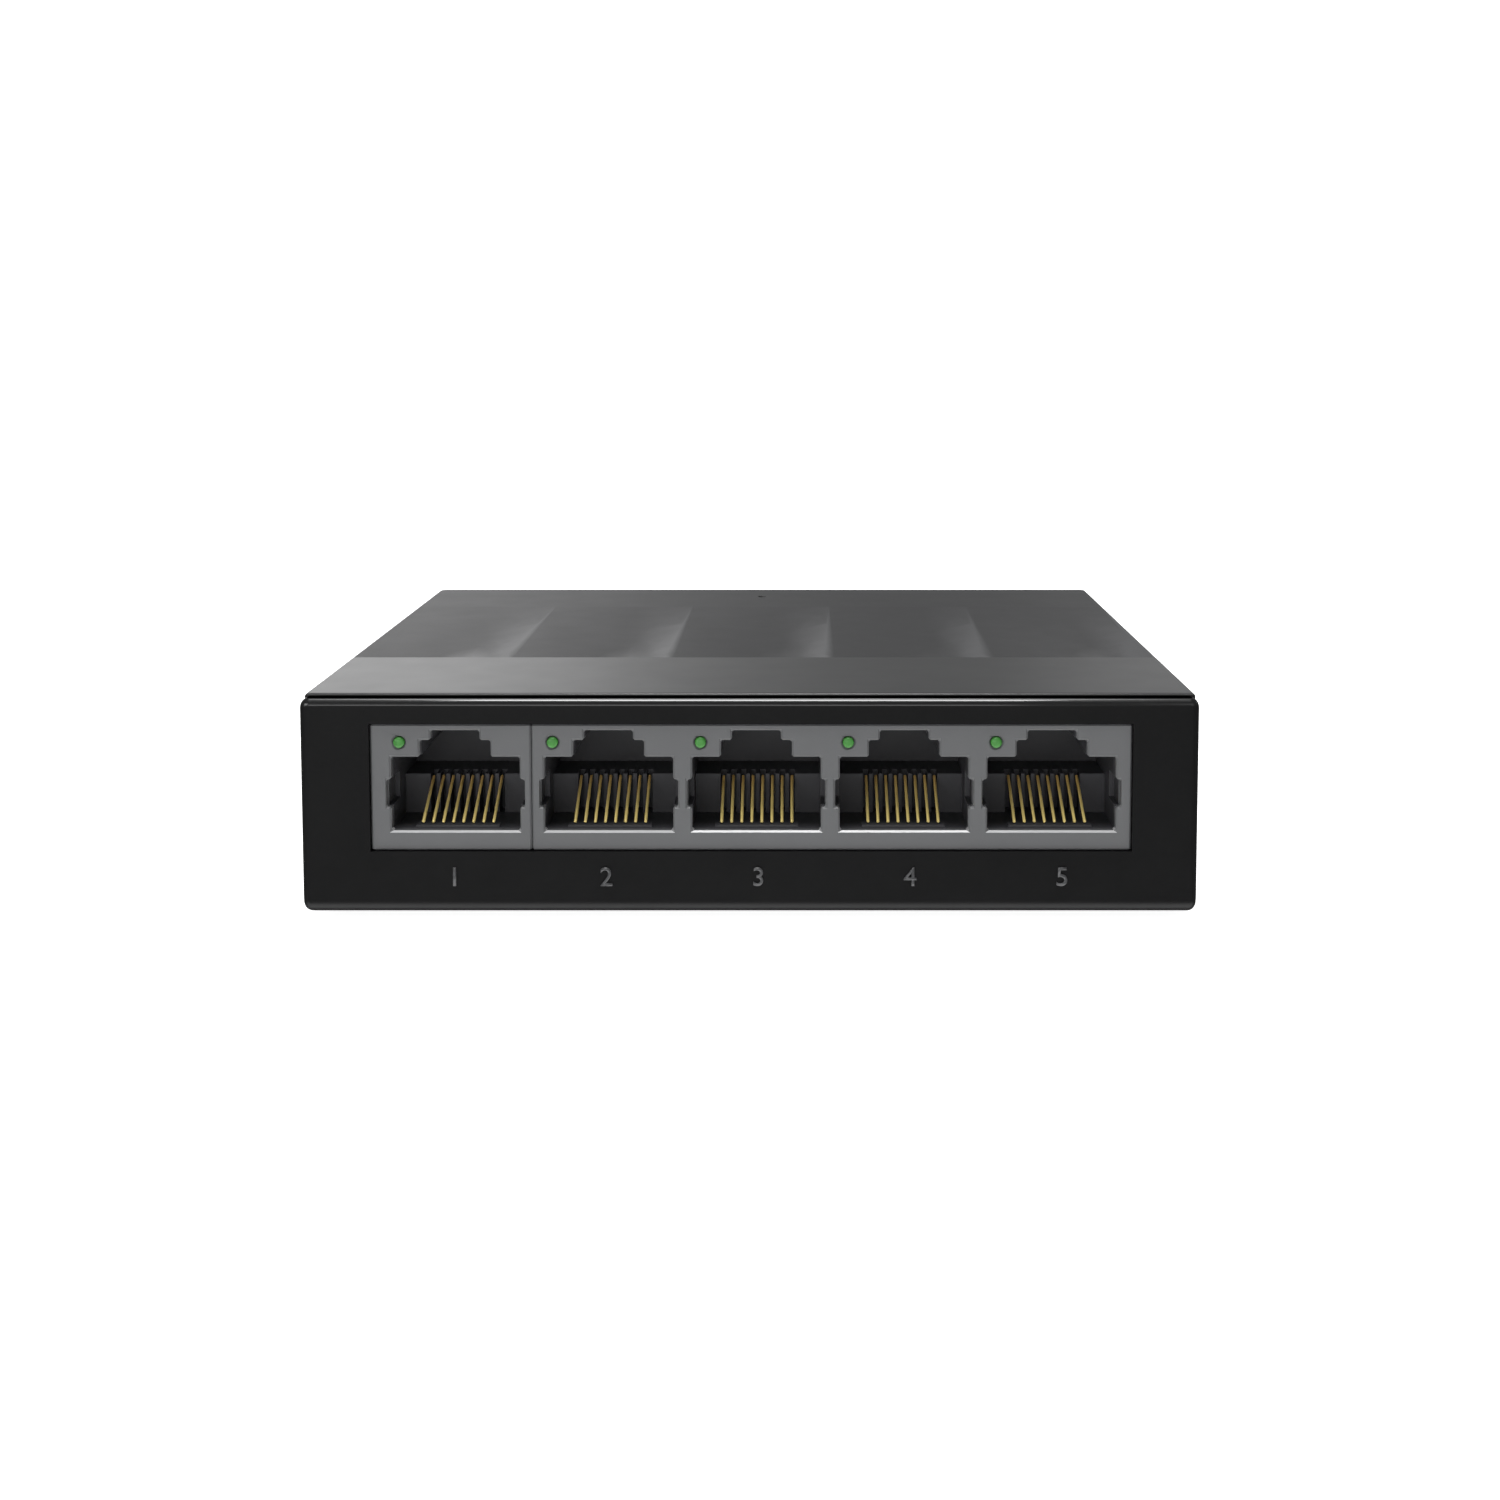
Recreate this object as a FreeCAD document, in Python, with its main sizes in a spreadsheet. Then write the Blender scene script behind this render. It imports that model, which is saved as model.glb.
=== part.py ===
"""Five-port desktop network switch, millimetres, +Z up, port face towards -Y.

The origin is under the middle of the case, on the surface that the rubber feet stand on.
A black tub with the port face and a grey lid hold one circuit board, which carries the
jacks, the power inlet and the electronics.
"""
import FreeCAD, Part
import os
import re
import Sketcher

SIZES = {
    # case
    "case_width": 90.0, "case_depth": 72.0, "case_height": 22.0, "foot_lift": 1.0,
    "side_wall": 1.8, "bottom_wall": 1.8, "top_wall": 1.6, "face_wall": 1.4,
    "corner_round": 0.8, "bottom_round": 1.5, "bezel_round": 1.0, "lid_round": 0.3,
    # parting line between tub and lid
    "skirt_height": 5.0, "tongue_wall": 0.8, "tongue_height": 1.6, "tongue_gap": 0.1,
    "seam_width": 1.1, "seam_depth": 1.0, "lid_gap": 0.05,
    # lid surface: a plain band in front of a relief of sharp crests
    "band_depth": 21.6, "relief_end": 57.0, "relief_drop": 0.1, "crest_pitch": 18.0,
    "crest_height": 0.8, "crest_rise": 7.2, "band_slot_width": 0.5, "band_slot_depth": 0.4,
    # circuit board and the posts under it
    "board_inset": 4.0, "board_thickness": 1.6, "board_top": 7.5, "board_gap": 0.7,
    "post_radius": 2.4, "post_inset": 7.5, "front_post_inset": 28.0, "rear_post_inset": 7.0,
    "pilot_radius": 0.85, "pilot_depth": 2.8, "board_screw_hole": 1.3,
    # jacks
    "single_width": 16.1, "gang_end_inset": 8.0, "jack_height": 12.85, "jack_depth": 21.0,
    "jack_recess": 0.3, "jack_gap": 0.06, "window_centre": 0.15, "jack_face": 1.0,
    "single_port_inset": 8.5, "gang_port_inset": 7.7, "port_pitch": 14.8,
    "peg_radius": 1.6, "peg_length": 2.2, "peg_gap": 0.05, "peg_back": 12.7,
    "single_peg_reach": 5.5, "gang_peg_reach": 22.2,
    # port opening, heights above the board
    "port_width": 12.9, "port_low": 2.0, "port_shoulder": 9.5,
    "latch_step_width": 7.1, "latch_step": 11.2, "latch_slot_width": 4.9, "latch_slot": 12.2,
    "side_slot_width": 13.9, "side_slot_low": 4.4, "side_slot_high": 7.2, "side_slot_depth": 3.0,
    # contact insert behind each opening
    "insert_width": 14.0, "insert_low": 1.05, "insert_high": 12.4, "insert_gap": 0.05,
    "comb_front": 7.0, "comb_top": 6.1, "cavity_depth": 12.3, "comb_slot_width": 0.6,
    "comb_slot_depth": 1.8, "comb_slot_high": 6.6,
    # contact wires
    "wire_radius": 0.15, "wire_pitch": 1.016, "wire_length": 6.5, "wire_tilt": 31.0,
    "wire_root_back": 1.7, "wire_root_high": 2.48, "nose_width": 8.4, "nose_depth": 1.2,
    "nose_gap": 0.05,
    # port lamps
    "lamp_radius": 0.56, "lamp_offset": 5.6, "lamp_high": 11.0, "lamp_length": 8.0,
    "lamp_gap": 0.04, "lamp_proud": 0.1,
    # port numerals on the face
    "mark_width": 1.2, "mark_height": 1.9, "mark_centre": 4.9, "mark_relief": 0.1,
    "mark_spread": 1.02, "mark_shift": 0.45,
    # power inlet
    "inlet_across": 30.0, "inlet_width": 9.0, "inlet_height": 9.5, "inlet_depth": 14.0,
    "inlet_sunk": 0.3, "inlet_gap": 0.15, "inlet_bore": 3.1, "inlet_bore_depth": 10.0,
    "inlet_axis": 4.9, "pin_radius": 1.0, "pin_sunk": 0.8, "pin_tail": 2.0,
    "leaf_width": 2.4, "leaf_thickness": 0.3, "leaf_length": 7.5, "leaf_tilt": 6.0,
    "leaf_slot_width": 3.0, "leaf_slot_depth": 1.3, "leaf_root_inset": 10.6,
    "ring_radius": 6.2, "ring_band": 0.5,
    # lamp in the lid
    "power_lamp_inset": 6.3, "pinhole_radius": 0.55, "pipe_tip_radius": 0.35,
    "pipe_radius": 1.2, "sleeve_gap": 0.05, "sleeve_wall": 0.95, "sleeve_length": 4.5,
    "pipe_tip_sunk": 0.3, "pipe_above_board": 1.4,
    # screws
    "case_screw_across": 40.0, "case_screw_inset": 5.0, "boss_radius": 2.4,
    "seat_radius": 3.2, "seat_height": 1.6, "boss_gap": 0.05, "boss_hole": 3.0,
    "screw_radius": 1.0, "screw_head_radius": 1.9, "screw_head_height": 1.1,
    "screw_head_flat": 1.33, "screw_head_rim": 0.55,
    "screw_hole": 1.3, "screw_sink": 2.3, "case_screw_length": 8.0,
    "board_screw_length": 4.2, "boss_pilot_depth": 8.0,
    # underside
    "foot_radius": 4.5, "foot_sink": 0.6, "foot_inset": 9.0, "front_foot_inset": 10.0,
    "rear_foot_inset": 9.0, "foot_gap": 0.15, "foot_round": 0.35,
    "keyhole_across": 60.0, "keyhole_radius": 3.75, "keyhole_slot": 1.9,
    "keyhole_reach": 7.5, "vent_width": 1.5, "vent_length": 12.0, "vent_pitch": 3.6,
    "vent_row": 16.0,
    # snap hooks
    "hook_inset": 2.2, "hook_wall": 1.1, "hook_width": 6.0, "hook_drop": 9.0,
    "hook_barb": 1.2, "hook_barb_height": 1.4, "hook_gap": 0.2, "hook_front_inset": 10.0,
    "hook_spacing": 36.0,
    # electronics
    "magnetics_width": 9.6, "magnetics_depth": 15.2, "magnetics_height": 5.6,
    "magnetics_lift": 0.15, "magnetics_edge": 0.6, "magnetics_behind": 9.6,
    "can_radius": 3.15, "can_height": 7.5, "can_groove": 0.2, "can_groove_low": 1.2,
    "can_groove_high": 1.8, "can_shoulder": 0.3, "can_inset": 12.0, "first_can": 9.5,
    "second_can": 17.5, "small_chip_width": 1.6, "small_chip_depth": 0.8,
    "small_chip_height": 0.7, "small_chip_pitch": 7.0, "small_chip_left": -26.0,
    "small_chips_front": 3.5, "small_chips_rear": 19.5,
}

# Sizes and places that follow the sizes above
TIED = {
    "board_width": "case_width - 2 * board_inset",
    "post_across": "case_width - 2 * post_inset",
    "front_post": "front_post_inset - case_depth / 2",
    "rear_post": "case_depth / 2 - rear_post_inset",
    "gang_width": "gang_port_inset + 3 * port_pitch + gang_end_inset",
    "lamp_bore": "lamp_radius + lamp_gap",
    "power_lamp_back": "case_depth / 2 - power_lamp_inset",
    "case_screw_back": "case_depth / 2 - case_screw_inset",
    "foot_across": "case_width - 2 * foot_inset",
    "front_foot": "front_foot_inset - case_depth / 2",
    "rear_foot": "case_depth / 2 - rear_foot_inset",
    "hook_across": "case_width - 2 * hook_inset",
    "hook_front": "hook_front_inset - case_depth / 2",
    "can_back": "case_depth / 2 - can_inset",
}

# Packages on the board: middle across, middle back, width, depth, height, lift, eased edge
PACKAGES = {
    "switch_chip": (-4.0, 11.5, 12.0, 12.0, 0.9, 0.05, 0.2),
    "crystal": (9.5, 11.5, 4.6, 11.0, 3.4, 0.0, 0.8),
    "voltage_regulator": (17.5, 12.0, 5.0, 4.0, 1.5, 0.05, 0.25),
    "power_inductor": (25.5, 12.0, 7.0, 7.0, 4.0, 0.0, 0.5),
}

doc = FreeCAD.newDocument("desktop_switch")
sheet = doc.addObject("Spreadsheet::Sheet", "Sheet")
NAMED = {**SIZES, **{alias: f"={formula}" for alias, formula in TIED.items()}}
for row, (alias, content) in enumerate(NAMED.items(), start=1):
    sheet.set(f"A{row}", alias)
    sheet.set(f"B{row}", str(content))
    sheet.setAlias(f"B{row}", alias)
doc.recompute()

WORD = re.compile(r"\b(" + "|".join(sorted(NAMED, key=len, reverse=True)) + r")\b")
ORIGIN = FreeCAD.Vector(0, 0, 0)
Z_AXIS = FreeCAD.Vector(0, 0, 1)
COUNT = {"ports": 5, "wires": 8, "facets": 5, "small_chips": 6}

# Planes and lines that several pieces share
FRONT = "(-case_depth / 2)"
REAR = "(case_depth / 2)"
CASE_TOP = "(foot_lift + case_height)"
INSIDE_FLOOR = "(foot_lift + bottom_wall)"
PARTING = "(foot_lift + case_height - skirt_height)"
LID_UNDER = "(foot_lift + case_height - top_wall)"
LID_FRONT = f"({FRONT} + face_wall + seam_width)"
BOARD_UNDER = "(board_top - board_thickness)"
JACK_FRONT = f"({FRONT} + jack_recess)"
JACK_ROW = "(single_width + jack_gap + gang_width)"
SINGLE_LEFT = f"(window_centre - {JACK_ROW} / 2)"
GANG_LEFT = f"({SINGLE_LEFT} + single_width + jack_gap)"
INSERT_FRONT = f"({JACK_FRONT} + jack_face + insert_gap)"
INLET_REAR = f"({REAR} - inlet_sunk)"
INLET_HIGH = "(board_top + inlet_axis)"


def sheet_words(expression):
    """The expression with each size read from the spreadsheet."""
    return WORD.sub(r"Sheet.\1", expression)


def size_of(expression):
    """An expression's present value."""
    return float(sheet.evalExpression(expression))


def bind(item, **properties):
    """Binds properties to expressions; a double underscore stands for a dot."""
    for name, expression in properties.items():
        item.setExpression(name.replace("__", "."), sheet_words(expression))
    return item


def place(item, x, y, z):
    return bind(item, Placement__Base__x=x, Placement__Base__y=y, Placement__Base__z=z)


def port_x(port):
    """Centre line of a port opening."""
    if port == 1:
        return f"({SINGLE_LEFT} + single_port_inset)"
    return f"({GANG_LEFT} + gang_port_inset + {port - 2} * port_pitch)"


# Part primitives and booleans

def block(name, x, y, z):
    """A box between pairs of expressions."""
    item = doc.addObject("Part::Box", name)
    bind(item, Length=f"{x[1]} - ({x[0]})", Width=f"{y[1]} - ({y[0]})", Height=f"{z[1]} - ({z[0]})")
    return place(item, x[0], y[0], z[0])


def rod(name, x, y, z, radius, length, axis=Z_AXIS):
    """A cylinder that starts at a point and runs along an axis."""
    item = doc.addObject("Part::Cylinder", name)
    item.Placement = FreeCAD.Placement(ORIGIN, FreeCAD.Rotation(Z_AXIS, axis))
    bind(item, Radius=radius, Height=length)
    return place(item, x, y, z)


def fuse(name, pieces):
    item = doc.addObject("Part::MultiFuse", name)
    item.Shapes = pieces
    return item


def cut(name, base, tool):
    item = doc.addObject("Part::Cut", name)
    item.Base = base
    item.Tool = tool
    return item


def group(name, pieces):
    """Separate solids that share one node."""
    item = doc.addObject("Part::Compound", name)
    item.Links = pieces
    return item


# PartDesign bodies

def new_body(name):
    item = doc.addObject("PartDesign::Body", name)
    item.AllowCompound = True
    return item


def sketch_on(body, name, role, offset="0", rotation=None):
    """A sketch on one of the body's own origin planes, moved along its normal."""
    plane = next(f for f in body.Origin.OriginFeatures if f.Role == role)
    sketch = body.newObject("Sketcher::SketchObject", f"{body.Name}_{name}")
    sketch.AttachmentSupport = [(plane, "")]
    sketch.MapMode = "FlatFace"
    if rotation:
        turn = FreeCAD.Rotation(Z_AXIS, size_of(rotation[2]))
        sketch.AttachmentOffset = FreeCAD.Placement(ORIGIN, turn)
        bind(sketch, AttachmentOffset__Rotation__Angle=rotation[2],
             AttachmentOffset__Base__x=rotation[0], AttachmentOffset__Base__y=rotation[1])
    bind(sketch, AttachmentOffset__Base__z=offset)
    return sketch


def fix_point(sketch, geometry, end, x, y):
    """Holds a point of the sketch at two expressions from its origin."""
    for kind, axis, expression in (("DistanceX", -2, x), ("DistanceY", -1, y)):
        value = size_of(expression)
        if expression == "0":
            sketch.addConstraint(Sketcher.Constraint("PointOnObject", geometry, end, axis))
            continue
        number = sketch.addConstraint(Sketcher.Constraint(kind, -1, 1, geometry, end, value))
        sketch.setExpression(f"Constraints[{number}]", sheet_words(expression))


def polygon(sketch, corners):
    """A closed outline of straight lines through corners given as expressions."""
    spots = [FreeCAD.Vector(size_of(x), size_of(y), 0) for x, y in corners]
    first = sketch.GeometryCount
    count = len(spots)
    for i in range(count):
        sketch.addGeometry(Part.LineSegment(spots[i], spots[(i + 1) % count]), False)
    for i in range(count):
        following = first + (i + 1) % count
        sketch.addConstraint(Sketcher.Constraint("Coincident", first + i, 2, following, 1))
        fix_point(sketch, first + i, 1, *corners[i])


def rectangle(sketch, x, y):
    polygon(sketch, [(x[0], y[0]), (x[1], y[0]), (x[1], y[1]), (x[0], y[1])])


def circle(sketch, x, y, radius):
    centre = FreeCAD.Vector(size_of(x), size_of(y), 0)
    number = sketch.addGeometry(Part.Circle(centre, Z_AXIS, size_of(radius)), False)
    fix_point(sketch, number, 3, x, y)
    rule = sketch.addConstraint(Sketcher.Constraint("Radius", number, size_of(radius)))
    sketch.setExpression(f"Constraints[{rule}]", sheet_words(radius))


def feature(body, kind, sketch, length=None, backwards=False):
    """A pad, pocket or revolution of a sketch; a cut has to change the volume."""
    before = body.Shape.Volume if body.Tip else 0.0
    item = body.newObject(f"PartDesign::{kind}", f"{sketch.Name}_{kind.lower()}")
    item.Profile = sketch
    item.Reversed = backwards
    if kind == "Revolution":
        item.ReferenceAxis = (sketch, ["V_Axis"])
        item.Angle = 360
    else:
        bind(item, Length=length)
    sketch.Visibility = False
    doc.recompute()
    if abs(item.Shape.Volume - before) < 1e-4:
        raise ValueError(f"{item.Name} changed nothing")
    return item


def soften(body, kind, amount, wanted):
    """A fillet or chamfer on the edges of the body that the test picks."""
    base = body.Tip
    edges = [f"Edge{i}" for i, edge in enumerate(base.Shape.Edges, start=1) if wanted(edge)]
    item = body.newObject(f"PartDesign::{kind}", f"{body.Name}_{kind.lower()}")
    item.Base = (base, edges)
    bind(item, **{"Radius" if kind == "Fillet" else "Size": amount})
    doc.recompute()
    return item


def repeat(body, sketch, axis, count, length, originals=None):
    """A straight row of the whole body, or of some of its features."""
    item = body.newObject("PartDesign::LinearPattern", f"{sketch.Name}_row")
    if originals:
        item.Originals = originals
    else:
        item.TransformMode = "Whole shape"
    item.Direction = (sketch, [axis])
    item.Occurrences = count
    bind(item, Length=length)
    body.Tip = item
    doc.recompute()
    return item


def turned(name, profile, x, y, z):
    """A body of revolution about an upright axis, from (radius, height) corners."""
    body = new_body(name)
    sketch = sketch_on(body, "profile", "XZ_Plane")
    polygon(sketch, profile)
    feature(body, "Revolution", sketch)
    return place(body, x, y, z)


def at_height(edge, expression):
    """True for an edge that lies flat at a height."""
    level = size_of(expression)
    box = edge.BoundBox
    return abs(box.ZMin - level) < 1e-4 and abs(box.ZMax - level) < 1e-4


def upright(edge):
    return edge.BoundBox.ZLength > 1 and edge.BoundBox.XLength + edge.BoundBox.YLength < 1e-4


def low_and_crosswise(edge):
    """True for the two lower edges of the case that run from side to side."""
    return at_height(edge, "foot_lift") and edge.BoundBox.YLength < 1e-4


def high_and_lengthwise(edge):
    """True for the two upper edges of the case that run from front to back."""
    return at_height(edge, CASE_TOP) and edge.BoundBox.XLength < 1e-4


# Tub: port face, floor and lower walls in one moulding

def make_tub():
    tub = new_body("base_shell")
    half = "case_width / 2"
    inner = "(case_width / 2 - side_wall)"
    outline = sketch_on(tub, "outline", "XY_Plane", "foot_lift")
    rectangle(outline, (f"-{half}", half), (FRONT, REAR))
    feature(tub, "Pad", outline, "case_height")
    soften(tub, "Fillet", "bottom_round", low_and_crosswise)
    soften(tub, "Fillet", "bezel_round", high_and_lengthwise)
    # this round also follows the bezel's corners and its upper edge, which run on smoothly
    soften(tub, "Fillet", "corner_round", upright)
    hollow = sketch_on(tub, "hollow", "XY_Plane", CASE_TOP)
    rectangle(hollow, (f"-{inner}", inner), (f"{FRONT} + face_wall", f"{REAR} - side_wall"))
    feature(tub, "Pocket", hollow, "case_height - bottom_wall")
    # the lid replaces the outer part of the walls above the parting line
    beyond = "case_width / 2 + 1"
    skin = "(case_width / 2 - side_wall + tongue_wall)"
    rear_skin = f"({REAR} - side_wall + tongue_wall)"
    sides = sketch_on(tub, "side_rebates", "XY_Plane", CASE_TOP)
    for x in ((f"-({beyond})", f"-{skin}"), (skin, beyond)):
        rectangle(sides, x, (f"{FRONT} + face_wall", f"{REAR} + 1"))
    feature(tub, "Pocket", sides, "skirt_height")
    back = sketch_on(tub, "rear_rebate", "XY_Plane", CASE_TOP)
    rectangle(back, (f"-({beyond})", beyond), (rear_skin, f"{REAR} + 2"))
    feature(tub, "Pocket", back, "skirt_height")
    tongue = sketch_on(tub, "tongue_top", "XY_Plane", CASE_TOP)
    rectangle(tongue, (f"-({beyond})", beyond), (f"{FRONT} + face_wall", f"{REAR} + 2"))
    feature(tub, "Pocket", tongue, "skirt_height - tongue_height")
    # window for the jacks and opening for the power inlet
    window = sketch_on(tub, "window", "XZ_Plane", f"-{FRONT} + 1")
    rectangle(window, (f"{SINGLE_LEFT} - jack_gap", f"{SINGLE_LEFT} + {JACK_ROW} + jack_gap"),
              ("board_top - jack_gap", "board_top + jack_height + jack_gap"))
    feature(tub, "Pocket", window, "face_wall + 1.5")
    inlet = sketch_on(tub, "inlet", "XZ_Plane", f"-{REAR} - 1")
    rectangle(inlet, ("inlet_across - inlet_width / 2 - inlet_gap",
                      "inlet_across + inlet_width / 2 + inlet_gap"),
              ("board_top - inlet_gap", "board_top + inlet_height + inlet_gap"))
    feature(tub, "Pocket", inlet, "side_wall + 1.5", backwards=True)
    # posts under the board and seats for the two case screws
    posts = sketch_on(tub, "posts", "XY_Plane", INSIDE_FLOOR)
    pilots = sketch_on(tub, "post_pilots", "XY_Plane", BOARD_UNDER)
    for x in ("-post_across / 2", "post_across / 2"):
        for y in ("front_post", "rear_post"):
            circle(posts, x, y, "post_radius")
            circle(pilots, x, y, "pilot_radius")
    feature(tub, "Pad", posts, f"{BOARD_UNDER} - {INSIDE_FLOOR}")
    feature(tub, "Pocket", pilots, "pilot_depth")
    seats = sketch_on(tub, "screw_seats", "XY_Plane", INSIDE_FLOOR)
    sinks = sketch_on(tub, "screw_sinks", "XY_Plane", "foot_lift")
    holes = sketch_on(tub, "screw_holes", "XY_Plane", "foot_lift")
    for x in ("-case_screw_across / 2", "case_screw_across / 2"):
        circle(seats, x, "case_screw_back", "seat_radius")
        circle(sinks, x, "case_screw_back", "screw_sink")
        circle(holes, x, "case_screw_back", "screw_hole")
    feature(tub, "Pad", seats, "seat_height")
    feature(tub, "Pocket", sinks, "bottom_wall", backwards=True)
    feature(tub, "Pocket", holes, "bottom_wall + seat_height", backwards=True)
    # blind recesses for the feet, keyholes, vents and snap hook pockets
    feet = sketch_on(tub, "foot_recesses", "XY_Plane", "foot_lift")
    for x in ("-foot_across / 2", "foot_across / 2"):
        for y in ("front_foot", "rear_foot"):
            circle(feet, x, y, "foot_radius + foot_gap")
    feature(tub, "Pocket", feet, "foot_sink", backwards=True)
    heads = sketch_on(tub, "keyhole_heads", "XY_Plane", "foot_lift")
    slots = sketch_on(tub, "keyhole_slots", "XY_Plane", "foot_lift")
    for x in ("-keyhole_across / 2", "keyhole_across / 2"):
        circle(heads, x, "0", "keyhole_radius")
        rectangle(slots, (f"{x} - keyhole_slot", f"{x} + keyhole_slot"), ("0", "keyhole_reach"))
    feature(tub, "Pocket", heads, "bottom_wall", backwards=True)
    feature(tub, "Pocket", slots, "bottom_wall", backwards=True)
    vent = sketch_on(tub, "vent", "XY_Plane", "foot_lift")
    for y in ("-vent_row / 2", "vent_row / 2"):
        rectangle(vent, ("-3 * vent_pitch - vent_width / 2", "-3 * vent_pitch + vent_width / 2"),
                  (f"{y} - vent_length / 2", f"{y} + vent_length / 2"))
    vents = feature(tub, "Pocket", vent, "bottom_wall", backwards=True)
    repeat(tub, vent, "H_Axis", 7, "6 * vent_pitch", [vents])
    hooks = sketch_on(tub, "hook_pockets", "YZ_Plane")
    barb_top = f"({LID_UNDER} - hook_drop + hook_barb_height)"
    for step in (0, 1):
        middle = f"(hook_front + {step} * hook_spacing)"
        rectangle(hooks, (f"{middle} - hook_width / 2 - hook_gap",
                          f"{middle} + hook_width / 2 + hook_gap"),
                  (f"{barb_top} - hook_barb_height - hook_gap", f"{barb_top} + hook_gap"))
    pockets = tub.newObject("PartDesign::Pocket", "base_shell_hook_pockets_cut")
    pockets.Profile = hooks
    pockets.Midplane = True
    bind(pockets, Length="hook_across + 2 * (hook_barb + hook_gap)")
    doc.recompute()
    # a low ring round the power inlet
    ring = sketch_on(tub, "inlet_ring", "XZ_Plane", f"-{REAR}")
    circle(ring, "inlet_across", INLET_HIGH, "ring_radius + ring_band")
    circle(ring, "inlet_across", INLET_HIGH, "ring_radius")
    return tub, ring


# Lid: band, relief, skirts, bosses, hooks and the lamp's sleeve

def relief_tool():
    """The space above the lid's relief, whose crests fade out towards the rear."""
    width = size_of("case_width") + 2
    start = size_of(f"{FRONT} + band_depth")
    fade = size_of(f"{FRONT} + relief_end")
    level = size_of(f"{CASE_TOP} - relief_drop")
    above = size_of(CASE_TOP) + 2
    pitch = size_of("crest_pitch")
    rise = size_of("crest_rise")
    height = size_of("crest_height")
    fall = height / (pitch - rise)
    left = -pitch * COUNT["facets"] / 2
    front_edges = []
    rear_edges = []

    def spot(x, y, z):
        return FreeCAD.Vector(x, y, z)

    for facet in range(COUNT["facets"]):
        x0 = left + facet * pitch
        x1 = x0 + pitch - rise
        x2 = x0 + pitch
        low = level - height
        curve = (height + fall * rise) / rise ** 2
        middle = low - fall * rise / 2 + curve * (rise / 2) ** 2
        front_edges.append(Part.makeLine(spot(x0, start, level), spot(x1, start, low)))
        arc = Part.Arc(spot(x1, start, low), spot(x1 + rise / 2, start, middle), spot(x2, start, level))
        front_edges.append(arc.toShape())
        rear_edges.append(Part.makeLine(spot(x0, fade, level), spot(x1, fade, level)))
        rear_edges.append(Part.makeLine(spot(x1, fade, level), spot(x2, fade, level)))
    right = -left
    for edges, y in ((front_edges, start), (rear_edges, fade)):
        edges.append(Part.makeLine(spot(right, y, level), spot(right, y, above)))
        edges.append(Part.makeLine(spot(right, y, above), spot(left, y, above)))
        edges.append(Part.makeLine(spot(left, y, above), spot(left, y, level)))
    relief = Part.makeLoft([Part.Wire(front_edges), Part.Wire(rear_edges)], True, True)
    rear = Part.makeBox(width, size_of(REAR) + 1 - fade, above - level, spot(-width / 2, fade, level))
    slot_low = level - height - size_of("band_slot_depth") + size_of("relief_drop")
    slot = Part.makeBox(width, size_of("band_slot_width"), above - slot_low,
                        spot(-width / 2, start, slot_low))
    tool = doc.addObject("Part::Feature", "relief_space")
    tool.Shape = relief.fuse([rear, slot])
    return tool


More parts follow.
